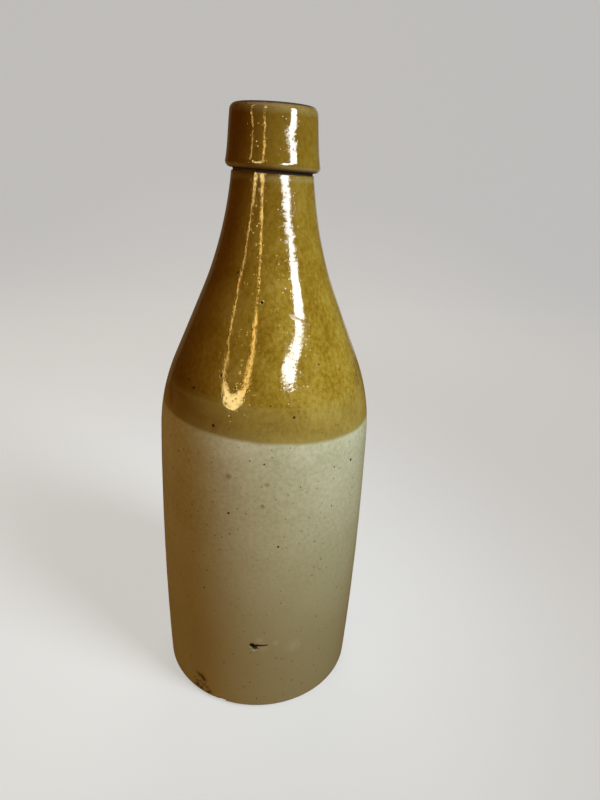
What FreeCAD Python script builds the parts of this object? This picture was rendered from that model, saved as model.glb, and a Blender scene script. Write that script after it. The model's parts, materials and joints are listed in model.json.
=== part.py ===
import FreeCAD, Part

import math
import os

# A stoneware ginger beer bottle, thrown in one piece: a barrelled body, a long sloping shoulder
# and a neck under a heavy collar, round one hollow that opens at the mouth.
# The origin is the middle of the foot, +Z runs up the axis and -Y is the front. Sizes are in mm.

# Body, a shallow barrel that swells between foot and shoulder
body_height = 104.0
shoulder_radius = 37.6
foot_inset = 0.7
side_swell = 0.95
heel_bevel = 1.4

# Mouth, the bore that takes the cork, and the wall of neck and lip round it
mouth_radius = 9.0
mouth_bevel = 1.2
bore_length = 41.0
neck_wall = 4.1
lip_flat = 1.2
lip_round = 2.2

# Shoulder and neck: a round shoulder, a straight slope and a hollow neck that run into each other
neck_length = 86.6
neck_taper_deg = 5.6
shoulder_round = 71.4
slope_length = 24.7

# Collar on the end of the neck, with an undercut beneath it and a slightly hollow side
undercut_depth = 0.5
undercut_height = 0.9
collar_height = 18.4
collar_shelf = 0.2
collar_foot_round = 1.7
collar_side_dip = 0.2

# Hollow: a straight well up past the shoulder, then a round that gathers it in to the bore
body_wall = 6.4
well_rise = 6.0
well_round = 20.0
floor_thickness = 9.0
floor_bevel = 5.0

FULL_TURN = 360.0
UP = FreeCAD.Vector(0, 0, 1)
ORIGIN = FreeCAD.Vector(0, 0, 0)

neck_top = body_height + neck_length
height = neck_top + collar_height
foot_radius = shoulder_radius - foot_inset
neck_radius = mouth_radius + neck_wall
lip_radius = mouth_radius + mouth_bevel + lip_flat + lip_round
collar_foot_radius = neck_radius + collar_shelf + collar_foot_round
well_radius = shoulder_radius - body_wall


def point(radius, level):
    """A point of the half section, which lies in the plane of the X axis."""
    return FreeCAD.Vector(radius, 0, level)


def heading(angle_deg):
    """The unit vector of the half section at an angle up from the outward direction."""
    return point(math.cos(math.radians(angle_deg)), math.sin(math.radians(angle_deg)))


def angle_of(vector):
    """The angle of a vector of the half section up from the outward direction, in degrees."""
    return math.degrees(math.atan2(vector.z, vector.x))


def line(start, end):
    return Part.LineSegment(start, end).toShape()


def polyline(points):
    return [line(start, end) for start, end in zip(points, points[1:])]


def round_about(centre, radius, start_deg, end_deg):
    """The arc about a centre, from one angle to another."""
    angles = (start_deg, (start_deg + end_deg) / 2, end_deg)
    return Part.Arc(*[centre + heading(angle) * radius for angle in angles]).toShape()


def bowed(start, end, rise):
    """The arc from a lower to a higher point that bows outwards from their chord by a rise."""
    chord = end - start
    outward = point(chord.z, -chord.x).normalize()
    return Part.Arc(start, (start + end) / 2 + outward * rise, end).toShape()


def side_circle():
    """The circle of the barrelled side."""
    return bowed(point(foot_radius, 0), point(shoulder_radius, body_height), side_swell).Curve


def side_point(level):
    circle = side_circle()
    reach = math.sqrt(circle.Radius ** 2 - (level - circle.Center.z) ** 2)
    return point(circle.Center.x + reach, level)


def side():
    """The barrelled side, from the heel's bevel up to the shoulder."""
    centre = side_circle().Center
    heel, shoulder = side_point(heel_bevel), side_point(body_height)
    return round_about(centre, side_circle().Radius, angle_of(heel - centre), angle_of(shoulder - centre))


def shoulder_and_neck(neck_end):
    """Three edges that run into each other: the shoulder's round, the slope and the neck's round.

    The neck's round and the slope's angle follow from the sizes: this round meets the neck's end at
    its taper and touches the slope at the slope's own length from the shoulder's round.
    """
    shoulder = side_point(body_height)
    start_deg = angle_of(shoulder - side_circle().Center)
    low = shoulder - heading(start_deg) * shoulder_round
    neck_out = heading(neck_taper_deg)
    reach = neck_end - low
    spare = reach.dot(reach) - shoulder_round ** 2 - slope_length ** 2
    neck_round = spare / (2 * (shoulder_round - reach.dot(neck_out)))
    high = neck_end + neck_out * neck_round
    turn_deg = math.degrees(math.atan2(slope_length, shoulder_round + neck_round))
    slope_deg = angle_of(high - low) - turn_deg
    return [
        round_about(low, shoulder_round, start_deg, slope_deg),
        line(low + heading(slope_deg) * shoulder_round, high - heading(slope_deg) * neck_round),
        round_about(high, -neck_round, slope_deg, neck_taper_deg),
    ]


def outside():
    """The outside of the half section, from the axis under the foot to the edge of the lip's flat."""
    neck_end = point(neck_radius, neck_top - undercut_height)
    undercut = point(neck_radius - undercut_depth, neck_top - undercut_height / 2)
    collar_foot = point(collar_foot_radius, neck_top + collar_foot_round)
    foot_centre = collar_foot - point(collar_foot_round, 0)
    shelf_edge = foot_centre - point(0, collar_foot_round)
    lip = point(lip_radius, height - lip_round)
    return [
        *polyline([ORIGIN, point(foot_radius - heel_bevel, 0), side_point(heel_bevel)]),
        side(),
        *shoulder_and_neck(neck_end),
        *polyline([neck_end, undercut, point(neck_radius, neck_top), shelf_edge]),
        round_about(foot_centre, collar_foot_round, -90, 0),
        bowed(collar_foot, lip, -collar_side_dip),
        round_about(lip - point(lip_round, 0), lip_round, 0, 90),
    ]


def inside():
    """The inside of the half section, from the floor's middle up to the edge of the lip's flat.

    The slope under the shoulder touches the well's round and ends at the foot of the bore.
    """
    floor_edge = point(well_radius - floor_bevel, floor_thickness)
    well_foot = point(well_radius, floor_thickness + floor_bevel)
    well_top = point(well_radius, body_height + well_rise)
    throat = point(mouth_radius, height - bore_length)
    mouth_edge = point(mouth_radius, height - mouth_bevel)
    centre = well_top - point(well_round, 0)
    reach = throat - centre
    slope_deg = angle_of(reach) - math.degrees(math.acos(well_round / reach.Length))
    return [
        *polyline([point(0, floor_thickness), floor_edge, well_foot, well_top]),
        round_about(centre, well_round, 0, slope_deg),
        *polyline([centre + heading(slope_deg) * well_round, throat, mouth_edge]),
        line(mouth_edge, point(mouth_radius + mouth_bevel, height)),
    ]


def turn_bottle():
    """The whole bottle, turned from one closed half section of its wall."""
    lip_top = line(point(lip_radius - lip_round, height), point(mouth_radius + mouth_bevel, height))
    axis = line(ORIGIN, point(0, floor_thickness))
    section = Part.Wire(Part.__sortEdges__([*outside(), lip_top, *inside(), axis]))
    return Part.Face(section).revolve(ORIGIN, UP, FULL_TURN)


os.makedirs("parts", exist_ok=True)
bottle = turn_bottle()
bottle.exportStep("parts/bottle.step")
print("bottle: %.1f mm high, %.1f cm3, valid %s" % (height, bottle.Volume / 1000, bottle.isValid()))
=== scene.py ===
"""A stoneware ginger beer bottle, dipped in ochre glaze above a clear-glazed buff body.

A Geometry Nodes tree turns the bottle from one half section, gives it the unevenness of the wheel and
presses its pits and chips in. The bottle's sizes are in millimetres, and MM is one of them in Blender's
metres. The studio's sizes are in metres. Azimuths are in degrees from the front.
"""

import json
import logging
import math
from collections.abc import Iterable
from dataclasses import dataclass
from enum import Enum
from functools import cached_property

import bmesh
import bpy
from mathutils import Matrix, Vector


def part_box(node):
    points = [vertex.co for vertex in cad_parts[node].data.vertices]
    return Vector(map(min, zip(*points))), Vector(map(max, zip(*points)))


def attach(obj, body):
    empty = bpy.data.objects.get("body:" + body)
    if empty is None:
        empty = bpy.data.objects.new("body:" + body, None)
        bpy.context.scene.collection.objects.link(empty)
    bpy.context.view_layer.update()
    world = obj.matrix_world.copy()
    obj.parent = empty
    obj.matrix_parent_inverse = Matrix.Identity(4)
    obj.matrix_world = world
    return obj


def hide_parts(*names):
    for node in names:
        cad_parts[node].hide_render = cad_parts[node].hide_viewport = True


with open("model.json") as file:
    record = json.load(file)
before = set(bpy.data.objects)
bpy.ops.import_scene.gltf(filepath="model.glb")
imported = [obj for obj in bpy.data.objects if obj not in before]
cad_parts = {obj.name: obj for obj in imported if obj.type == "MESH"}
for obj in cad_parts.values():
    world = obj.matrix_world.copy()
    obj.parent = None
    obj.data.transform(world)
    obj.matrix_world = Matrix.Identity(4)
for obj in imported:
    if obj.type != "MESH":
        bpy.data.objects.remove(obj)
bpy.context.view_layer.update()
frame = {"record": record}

log = logging.getLogger("ginger_beer_bottle")

MM = 0.001
BODY = "root"
NODE = "bottle"
PIECE = "glazed_bottle"

Tree = bpy.types.NodeTree
Node = bpy.types.Node


def linear(code: str) -> tuple[float, float, float, float]:
    """Turns an sRGB hex colour into Blender's linear one.

    Args:
        code: The colour, such as #a08030.

    Returns:
        The linear red, green and blue, and an alpha of 1.
    """
    parts = [int(code[start:start + 2], 16) / 255 for start in (1, 3, 5)]
    bent = [part / 12.92 if part <= 0.04045 else ((part + 0.055) / 1.055) ** 2.4 for part in parts]
    return (*bent, 1.0)


def feed(node: Node, key: str | int, value: object) -> None:
    """Feeds one input of a node.

    Args:
        node: The node, in its tree.
        key: The input's name or number.
        value: A plain value, a socket, or a node whose first output in use feeds the input.
    """
    by_number = isinstance(key, int)
    socket = node.inputs[key] if by_number else next(s for s in node.inputs if s.enabled and s.name == key)
    if isinstance(value, Node):
        value = next(s for s in value.outputs if s.enabled)
    if isinstance(value, bpy.types.NodeSocket):
        node.id_data.links.new(value, socket)
    else:
        socket.default_value = value


def add_node(tree: Tree, kind: str, feeds: dict | None = None, **settings) -> Node:
    """Adds a node to a tree, with its settings and what feeds its inputs.

    Args:
        tree: The tree that gets the node.
        kind: The node's Blender type.
        feeds: What feeds each input, by the input's name or number.
        settings: The node's own properties.

    Returns:
        The new node.
    """
    node = tree.nodes.new(kind)
    for name, value in settings.items():
        setattr(node, name, value)
    for key, value in (feeds or {}).items():
        feed(node, key, value)
    return node


def new_material(name: str) -> tuple[bpy.types.Material, Tree, Node]:
    """Makes a material.

    Args:
        name: The finish's name.

    Returns:
        The material, its tree and its Principled shader.
    """
    material = bpy.data.materials.new(name)
    material.use_nodes = True
    return material, material.node_tree, material.node_tree.nodes["Principled BSDF"]


def new_object(name: str, data: bpy.types.ID) -> bpy.types.Object:
    """Makes an object in the scene.

    Args:
        name: The object's name.
        data: Its mesh, light or camera.

    Returns:
        The object.
    """
    thing = bpy.data.objects.new(name, data)
    bpy.context.scene.collection.objects.link(thing)
    return thing


def round_axis(distance: float, azimuth: float, level: float) -> Vector:
    """A place at a distance from the axis, at an azimuth and a level."""
    angle = math.radians(azimuth)
    return Vector((distance * math.sin(angle), -distance * math.cos(angle), level))


def heading(angle: float) -> Vector:
    """The unit vector of the half section at an angle up from the outward direction, in radians."""
    return Vector((math.cos(angle), math.sin(angle)))


def angle_of(vector: Vector) -> float:
    """The angle of a vector of the half section up from the outward direction, in radians."""
    return math.atan2(vector.y, vector.x)


@dataclass(frozen=True)
class Round:
    """A circle of the half section: where its middle is and how large it is."""

    centre: Vector
    radius: float

    def outer(self, level: float) -> float:
        """Radius of the bottle at a level, on the circle's outward half."""
        return self.centre.x + math.sqrt(self.radius ** 2 - (level - self.centre.y) ** 2)

    def inner(self, level: float) -> float:
        """Radius of the bottle at a level, on the circle's inward half."""
        return self.centre.x - math.sqrt(self.radius ** 2 - (level - self.centre.y) ** 2)

    def points(self, start: float, end: float, steps: int) -> list[Vector]:
        """Points along the circle.

        Args:
            start: The first point's angle in radians.
            end: The last point's angle in radians.
            steps: How many stretches lie between them.

        Returns:
            The points, with both ends.
        """
        turns = [start + (end - start) * step / steps for step in range(steps + 1)]
        return [self.centre + heading(turn) * self.radius for turn in turns]


class Zone(Enum):
    """What covers a stretch of the half section."""

    CLAY = 0
    COAT = 1
    LINER = 2


@dataclass(frozen=True)
class Band:
    """A band of levels with its own distance between rows, for the marks that lie in it."""

    low: float
    high: float
    step: float


@dataclass(frozen=True)
class HalfSection:
    """The wall of the bottle as it was turned, with the CAD part's sizes, and the rows of its mesh.

    An ease is where the middle of a worn bevel lies, as shares of the bevel outwards and up or down.
    """

    height: float
    mouth_radius: float
    throat_level: float
    body_height: float = 104.0
    shoulder_radius: float = 37.6
    foot_inset: float = 0.7
    side_swell: float = 0.95
    heel_bevel: float = 1.4
    heel_ease: tuple[float, float] = (0.45, 0.3)
    mouth_bevel: float = 1.2
    mouth_ease: tuple[float, float] = (0.4, 0.35)
    neck_wall: float = 4.1
    lip_flat: float = 1.2
    lip_round: float = 2.2
    neck_length: float = 86.6
    neck_taper: float = math.radians(5.6)
    shoulder_round: float = 71.4
    slope_length: float = 24.7
    undercut_depth: float = 0.5
    undercut_height: float = 0.9
    undercut_turn: tuple[float, float] = (math.radians(250), math.radians(110))
    collar_shelf: float = 0.2
    collar_foot_round: float = 1.7
    collar_side_dip: float = 0.2
    body_wall: float = 6.4
    well_rise: float = 6.0
    well_round: float = 20.0
    floor_thickness: float = 9.0
    floor_bevel: float = 5.0
    row_step: float = 1.5
    fine_bands: tuple[Band, ...] = (
        Band(0.0, 10.8, 0.45), Band(29.4, 33.8, 0.26), Band(127.8, 129.4, 0.3),
        Band(130.7, 132.3, 0.3), Band(145.6, 150.6, 0.35), Band(152.4, 154.2, 0.3),
    )
    collar_rows: int = 14
    collar_foot_rows: int = 8
    lip_rows: int = 10
    round_rows: int = 6
    bore_rows: int = 15
    bore_step: float = 2.6
    well_rows: int = 12
    foot_rings: tuple[float, ...] = (0.0, 0.5, 0.9)
    foot_edge_step: float = 0.3

    @property
    def neck_top(self) -> float:
        """Level of the collar's underside."""
        return self.body_height + self.neck_length

    @property
    def neck_radius(self) -> float:
        """Radius of the neck where it meets the undercut."""
        return self.mouth_radius + self.neck_wall

    @property
    def lip_radius(self) -> float:
        """Radius of the collar where the lip's round begins."""
        return self.mouth_radius + self.mouth_bevel + self.lip_flat + self.lip_round

    @property
    def foot_radius(self) -> float:
        """Radius of the barrelled side at the foot, before the heel's bevel."""
        return self.shoulder_radius - self.foot_inset

    @cached_property
    def side(self) -> Round:
        """The circle of the barrelled side."""
        foot = Vector((self.foot_radius, 0))
        chord = Vector((self.shoulder_radius, self.body_height)) - foot
        outward = Vector((chord.y, -chord.x)).normalized()
        radius = (chord.length_squared / 4 + self.side_swell ** 2) / (2 * self.side_swell)
        return Round(foot + chord / 2 - outward * (radius - self.side_swell), radius)

    @cached_property
    def shoulder(self) -> Round:
        """The circle of the shoulder, which carries the side on."""
        top = Vector((self.side.outer(self.body_height), self.body_height))
        out = heading(angle_of(top - self.side.centre))
        return Round(top - out * self.shoulder_round, self.shoulder_round)

    @cached_property
    def neck(self) -> Round:
        """The circle of the hollow neck, which the slope joins to the shoulder."""
        neck_end = Vector((self.neck_radius, self.neck_top - self.undercut_height))
        neck_out = heading(self.neck_taper)
        reach = neck_end - self.shoulder.centre
        spare = reach.length_squared - self.shoulder_round ** 2 - self.slope_length ** 2
        radius = spare / (2 * (self.shoulder_round - reach.dot(neck_out)))
        return Round(neck_end + neck_out * radius, radius)

    @cached_property
    def slope(self) -> tuple[Vector, Vector]:
        """The lower and the upper end of the straight slope."""
        turn = math.atan2(self.slope_length, self.shoulder.radius + self.neck.radius)
        out = heading(angle_of(self.neck.centre - self.shoulder.centre) - turn)
        return self.shoulder.centre + out * self.shoulder.radius, self.neck.centre - out * self.neck.radius

    def outside_radius(self, level: float) -> float:
        """Radius of the outside at a level, with the collar taken as it is at its lip.

        Args:
            level: The level on the half section.

        Returns:
            The radius there.
        """
        low, high = self.slope
        if level > self.neck_top:
            return self.lip_radius
        if level < self.body_height:
            return self.side.outer(level)
        if level < low.y:
            return self.shoulder.outer(level)
        if level < high.y:
            return low.x + (high.x - low.x) * (level - low.y) / (high.y - low.y)
        return self.neck.inner(level)

    def on_outside(self, azimuth: float, level: float) -> Vector:
        """A place on the outside, at an azimuth and a level."""
        return round_axis(self.outside_radius(level), azimuth, level)

    def rows_between(self, low: float, high: float) -> list[float]:
        """Levels of the rows from one level up to another, closer together in the fine bands.

        Args:
            low: The first row's level.
            high: The last row's level.

        Returns:
            The levels, upwards.
        """
        levels = [low]
        while levels[-1] < high:
            here = levels[-1]
            steps = [band.step for band in self.fine_bands if band.low <= here < band.high]
            ahead = [band.low - here for band in self.fine_bands if band.low > here]
            levels.append(here + (steps[0] if steps else min([self.row_step, *ahead])))
        return [*levels[:-1], high]

    def collar_side(self, low: Vector, high: Vector) -> list[Vector]:
        """The hollow side of the collar, which lies deepest at a third of its height.

        Args:
            low: Its lower end, where the collar's foot is round.
            high: Its upper end, where the lip's round begins.

        Returns:
            The points between the two ends.
        """
        shares = [step / self.collar_rows for step in range(1, self.collar_rows)]
        # The curve share * (1 - share) ** 2 is deepest at a third
        deepest = 1 / 3 * (1 - 1 / 3) ** 2
        dips = [self.collar_side_dip * share * (1 - share) ** 2 / deepest for share in shares]
        return [low.lerp(high, share) - Vector((dip, 0)) for share, dip in zip(shares, dips)]

    def outside(self) -> list[Vector]:
        """The glazed outside, from the heel's bevel up over the lip to the mouth.

        Returns:
            The points, in order.
        """
        foot_centre = Vector((self.neck_radius + self.collar_shelf, self.neck_top + self.collar_foot_round))
        lip = Vector((self.lip_radius, self.height - self.lip_round))
        undercut_level = self.neck_top - self.undercut_height / 2
        undercut = Round(Vector((self.neck_radius, undercut_level)), self.undercut_depth)
        rows = self.rows_between(self.heel_bevel, self.neck_top - self.undercut_height)
        out, down = self.mouth_ease
        return [
            *[Vector((self.outside_radius(level), level)) for level in rows],
            *undercut.points(*self.undercut_turn, self.round_rows),
            *Round(foot_centre, self.collar_foot_round).points(-math.pi / 2, 0, self.collar_foot_rows),
            *self.collar_side(foot_centre + Vector((self.collar_foot_round, 0)), lip),
            *Round(lip - Vector((self.lip_round, 0)), self.lip_round).points(0, math.pi / 2, self.lip_rows),
            Vector((self.mouth_radius + self.mouth_bevel, self.height)),
            Vector((self.mouth_radius + self.mouth_bevel * out, self.height - self.mouth_bevel * down)),
        ]

    def inside(self) -> list[Vector]:
        """The liner's surface, from the mouth down to the middle of the floor.

        Returns:
            The points, in order.
        """
        well_radius = self.shoulder_radius - self.body_wall
        well_top = Vector((well_radius, self.body_height + self.well_rise))
        well_foot = Vector((well_radius, self.floor_thickness + self.floor_bevel))
        well = Round(well_top - Vector((self.well_round, 0)), self.well_round)
        throat = Vector((self.mouth_radius, self.throat_level))
        reach = throat - well.centre
        slope = angle_of(reach) - math.acos(self.well_round / reach.length)
        slope_start = well.centre + heading(slope) * self.well_round
        bevel = Round(well_foot - Vector((self.floor_bevel, 0)), self.floor_bevel)
        bore_top = self.height - self.mouth_bevel
        shares = [step / self.well_rows for step in range(self.well_rows + 1)]
        return [
            *[Vector((self.mouth_radius, bore_top - self.bore_step * row)) for row in range(self.bore_rows)],
            *[throat.lerp(slope_start, share) for share in shares],
            *well.points(slope, 0, self.round_rows)[1:],
            *[well_top.lerp(well_foot, share) for share in shares[1:-1]],
            *bevel.points(0, -math.pi / 2, self.round_rows),
            Vector((0, self.floor_thickness)),
        ]

    def under(self) -> list[Vector]:
        """The bare foot, from its middle out to the heel's bevel.

        Returns:
            The points, in order.
        """
        edge = self.foot_radius - self.heel_bevel
        out, up = self.heel_ease
        rings = [*[edge * share for share in self.foot_rings], edge - self.foot_edge_step, edge]
        eased = Vector((edge + self.heel_bevel * out, self.heel_bevel * up))
        return [*[Vector((radius, 0)) for radius in rings], eased]

    def path(self) -> list[tuple[Vector, Zone]]:
        """The whole half section in order.

        Returns:
            The points, each with what covers it.
        """
        return [
            *[(point, Zone.CLAY) for point in self.under()],
            *[(point, Zone.COAT) for point in self.outside()],
            *[(point, Zone.LINER) for point in self.inside()],
        ]


class MarkKind(Enum):
    """What a mark in the surface lays open: a dark hole, rusty clay or rough pale clay."""

    PIT = 0
    CHIP = 1
    FLAKE = 2

    @property
    def halo(self) -> str:
        """Name of the points' attribute for the ring round a mark of this kind."""
        return self.name + "_HALO"


HALOED = (MarkKind.PIT, MarkKind.CHIP)


@dataclass(frozen=True)
class Mark:
    """A pit or chip in the outside: its azimuth, its level, its reach and its depth."""

    azimuth: float
    level: float
    reach: float
    depth: float
    kind: MarkKind = MarkKind.PIT


def groove(start: Mark, end: Mark, count: int) -> list[Mark]:
    """A row of marks that run together into a groove.

    Args:
        start: The mark at one end.
        end: The mark at the other end.
        count: How many marks there are.

    Returns:
        The marks, with sizes that change evenly from one end to the other.
    """
    shares = [step / (count - 1) for step in range(count)]
    return [
        Mark(*[a + (b - a) * share for a, b in zip(
            (start.azimuth, start.level, start.reach, start.depth),
            (end.azimuth, end.level, end.reach, end.depth))], kind=start.kind)
        for share in shares
    ]


# In order: the pit and its thin groove, three pinholes, the scratch, the worn heel and the foot's nick
MARKS = (
    *groove(Mark(-3.3, 32.0, 1.3, 0.9), Mark(-1.8, 31.2, 1.6, 1.3), 5),
    *groove(Mark(-1.0, 31.9, 0.7, 0.6), Mark(4.7, 32.1, 0.42, 0.35), 16),
    Mark(-5.6, 153.3, 0.5, 0.6), Mark(-26.5, 131.5, 0.4, 0.5), Mark(-17.0, 128.6, 0.35, 0.4),
    *groove(Mark(16.3, 149.8, 0.26, 0.08, MarkKind.FLAKE), Mark(31.1, 146.8, 0.3, 0.11, MarkKind.FLAKE), 26),
    Mark(-37.9, 9.7, 0.6, 0.15, MarkKind.CHIP), Mark(-36.4, 9.2, 1.0, 0.3, MarkKind.CHIP),
    Mark(-34.6, 8.7, 1.3, 0.4, MarkKind.CHIP), Mark(-33.3, 7.9, 1.1, 0.3, MarkKind.CHIP),
    Mark(-41.0, 6.0, 1.0, 0.15, MarkKind.FLAKE), Mark(-38.9, 4.9, 1.5, 0.2, MarkKind.FLAKE),
    Mark(-36.4, 5.6, 1.2, 0.2, MarkKind.FLAKE), Mark(-34.2, 4.6, 1.7, 0.25, MarkKind.FLAKE),
    Mark(-32.2, 6.1, 0.9, 0.15, MarkKind.FLAKE), Mark(-31.2, 4.4, 1.5, 0.25, MarkKind.FLAKE),
    Mark(-28.9, 3.1, 1.3, 0.25, MarkKind.FLAKE), Mark(-38.6, 3.0, 1.2, 0.3, MarkKind.CHIP),
    Mark(-35.6, 2.6, 0.9, 0.25, MarkKind.CHIP), Mark(-30.4, 2.3, 0.8, 0.2, MarkKind.CHIP),
    *groove(Mark(-25.6, 1.0, 1.0, 0.35, MarkKind.FLAKE), Mark(-20.4, 0.9, 1.5, 0.6, MarkKind.FLAKE), 5),
)


@dataclass(frozen=True)
class Speck:
    """A spot of colour in the glaze, with its azimuth, its level and its radius."""

    azimuth: float
    level: float
    radius: float


# The specks that stand out one by one; the last of the iron ones is the nick in the lip
IRON_SPECKS = (
    Speck(51.1, 101.0, 0.5), Speck(0.2, 106.0, 0.3), Speck(8.4, 75.2, 0.4), Speck(-16.8, 87.1, 0.42),
    Speck(-30.8, 53.8, 0.36), Speck(37.9, 101.4, 0.28), Speck(37.8, 86.6, 0.3), Speck(-48.3, 103.4, 0.3),
    Speck(3.8, 108.4, 0.2), Speck(-6.8, 106.9, 0.25), Speck(-26.0, 104.3, 0.2), Speck(24.2, 84.8, 0.22),
    Speck(18.5, 97.1, 0.22), Speck(-42.7, 16.5, 0.25), Speck(27.3, 8.2, 0.25), Speck(-43.1, 125.8, 0.45),
    Speck(-48.9, 127.5, 0.3), Speck(-26.4, 116.5, 0.45), Speck(14.7, 120.7, 0.42), Speck(33.0, 135.1, 0.32),
    Speck(2.7, 124.3, 0.25), Speck(-30.7, 161.2, 0.32), Speck(-37.6, 208.3, 0.4),
)
SOFT_SPECKS = (
    Speck(-17.0, 100.7, 0.8), Speck(1.9, 98.8, 0.6), Speck(0.2, 90.8, 0.55), Speck(-40.5, 102.0, 0.35),
    Speck(-54.4, 95.4, 0.4), Speck(-24.2, 94.5, 0.35), Speck(12.4, 94.7, 0.3), Speck(-51.3, 81.8, 0.3),
    Speck(-38.3, 85.8, 0.3), Speck(-34.2, 84.4, 0.35), Speck(-21.2, 72.2, 0.3), Speck(24.2, 78.1, 0.3),
    Speck(33.8, 82.7, 0.3), Speck(30.6, 85.6, 0.25), Speck(9.9, 25.5, 0.4), Speck(-19.3, 21.3, 0.4),
    Speck(-43.5, 125.4, 1.1), Speck(-26.0, 116.0, 1.2), Speck(-49.5, 127.0, 0.8),
)
PALE_SPECKS = (
    Speck(2.6, 31.2, 1.5), Speck(0.6, 34.6, 1.1), Speck(9.5, 33.0, 0.9), Speck(20.0, 30.0, 2.2),
    Speck(14.0, 88.0, 1.4), Speck(-12.0, 110.0, 1.8), Speck(30.0, 96.0, 2.0),
)


@dataclass(frozen=True)
class Pepper:
    """Specks strewn at random, one to a cell, with some cells empty and sizes up to a largest radius."""

    cell: float
    empty_share: float
    radius: float
    strength: float
    colour: str
    edge: float = 0.08


@dataclass(frozen=True)
class Stripe:
    """A ring of the glaze with a colour of its own, round a level of the half section."""

    level: float
    reach: float
    blur: float
    strength: float
    colour: str
    dullness: float = 0.0


@dataclass(frozen=True)
class DippedGlaze:
    """Two feldspathic glazes on one coat: ochre slip glaze over the neck, clear glaze on the body.

    It gives the eye a deep, wet gloss with fine orange peel above, and a softer buff gloss with iron
    specks below, with a soft line where the neck was dipped. Each width is a pattern's real size.
    """

    section: HalfSection
    dip_level: float = 112.9
    dip_slope: tuple[float, float] = (-0.0573, 0.0043)
    dip_blur: float = 0.8
    dip_wave: float = 1.2
    dip_wave_width: float = 13.0
    second_dip: float = 10.2
    second_dip_fade: tuple[float, float] = (8.5, 11.5)
    thin_edge: float = 4.0
    thin_strength: float = 0.35
    thick_levels: tuple[float, float] = (30.0, 90.0)
    thick_strength: float = 0.7
    # Painted shade on the ochre's left side: where its fade starts and ends in outward x, and how strong it
    # gets
    side_shade_from: float = 0.15
    side_shade_to: float = -0.65
    side_shade_strength: float = 0.65
    ochre_cloud_width: float = 11.0
    mottle_width: float = 1.3
    mottle_stretch: tuple[float, float, float] = (1.0, 1.0, 0.75)
    mottle_share: float = 0.6
    ochre_dark: str = "#86681a"
    ochre: str = "#a0852b"
    ochre_light: str = "#b59d46"
    thick_ochre: str = "#765a18"
    # The ochre's colour as painted shade on its left side
    shaded_side_ochre: str = "#7c5610"
    thin_ochre: str = "#ab9e5c"
    thin_glaze: str = "#a99f70"
    # Dark colour for the undercut's painted shade with its gathered glaze, and for the lip's dark line
    gathered_glaze_and_shade: str = "#2b1b08"
    buff_cloud_width: float = 18.0
    buff_grain_width: float = 1.4
    buff_dark: str = "#c1c29e"
    buff: str = "#d0d3b2"
    buff_light: str = "#dddfc4"
    # The foot's colour: browner clay with painted shade on it
    browner_and_shaded_foot: str = "#b7b289"
    foot_levels: tuple[float, float] = (30.0, 112.0)
    stripe_wave_width: float = 2.5
    iron: str = "#2a1d10"
    soft_iron: str = "#7d6238"
    rust: str = "#4a3013"
    rough_clay: str = "#8b6c38"
    pit: str = "#150d06"
    worn_roughness: float = 0.6
    body_roughness: float = 0.26
    ochre_roughness: float = 0.035
    ior: float = 1.5
    wave_width: float = 3.8
    wave_height: float = 0.055
    peel_width: float = 0.8
    peel_height: float = 0.021
    prick_cell: float = 1.4
    prick_edge: tuple[float, float] = (0.08, 0.24)
    prick_depth: float = 0.028

    @property
    def stripes(self) -> tuple[Stripe, ...]:
        """The rings where the glaze ran thin over an edge, a dark line on the lip, and the groove's painted
        shade with gathered glaze.
        """
        section = self.section
        groove_level = section.neck_top - section.undercut_height / 2
        foot = section.neck_top + 0.5 * section.collar_foot_round
        return (
            Stripe(groove_level - 1.7, 0.7, 1.0, 0.35, self.thin_glaze, 0.05),
            Stripe(foot, 0.45, 0.7, 0.75, self.thin_glaze, 0.15),
            # Painted shade in the undercut's groove under the collar, with glaze gathered there, dark and
            # dull
            Stripe(groove_level + 0.1, 0.55, 0.4, 0.95, self.gathered_glaze_and_shade, 0.9),
            Stripe(section.height - 0.9 * section.lip_round, 0.5, 1.9, 0.5, self.thin_glaze, 0.05),
            # A dark, dull line along the top of the lip
            Stripe(section.height, 0.6, 0.35, 0.97, self.gathered_glaze_and_shade, 0.9),
            Stripe(self.dip_level + self.second_dip, 0.35, 0.9, 0.35, self.thin_ochre),
        )

    @property
    def peppers(self) -> tuple[Pepper, ...]:
        """The random specks, from the few large ones to the many small ones."""
        return (
            Pepper(4.4, 0.45, 0.34, 0.85, self.iron), Pepper(4.6, 0.6, 0.7, 0.35, self.soft_iron),
            Pepper(2.6, 0.25, 0.45, 0.6, self.soft_iron), Pepper(1.4, 0.3, 0.3, 0.4, self.rust),
        )

    def material(self) -> bpy.types.Material:
        """Builds the coat's material.

        Returns:
            The material.
        """
        material, tree, shader = new_material("dipped_stoneware_glaze")
        coords = add_node(tree, "ShaderNodeTexCoord")
        place = add_node(tree, "ShaderNodeVectorMath", {0: coords.outputs["Object"], "Scale": 1 / MM},
                         operation="SCALE")
        above = self.above_dip(tree, place)
        dipped = add_node(tree, "ShaderNodeMapRange", {
            "Value": above, "From Min": -self.dip_blur, "From Max": self.dip_blur},
            interpolation_type="SMOOTHSTEP")
        colour = add_node(tree, "ShaderNodeMix", {
            "Factor": dipped, "A": self.buff_colour(tree, place),
            "B": self.ochre_colour(tree, place, above)}, data_type="RGBA")
        colour, dull = self.add_stripes(tree, place, colour)
        colour = self.add_specks(tree, place, colour)
        feed(shader, "Base Color", self.add_marks(tree, colour))
        gloss = add_node(tree, "ShaderNodeMapRange", {
            "Value": dipped, "To Min": self.body_roughness, "To Max": self.ochre_roughness})
        rough = add_node(tree, "ShaderNodeMath", {0: gloss, 1: dull})
        for kind in MarkKind:
            worn = add_node(tree, "ShaderNodeAttribute", attribute_name=kind.name)
            rough = add_node(tree, "ShaderNodeMath", {
                0: worn.outputs["Fac"], 1: self.worn_roughness, 2: rough}, operation="MULTIPLY_ADD")
        feed(shader, "Roughness", rough)
        feed(shader, "Normal", self.peel(tree, place))
        feed(shader, "IOR", self.ior)
        return material

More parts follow.
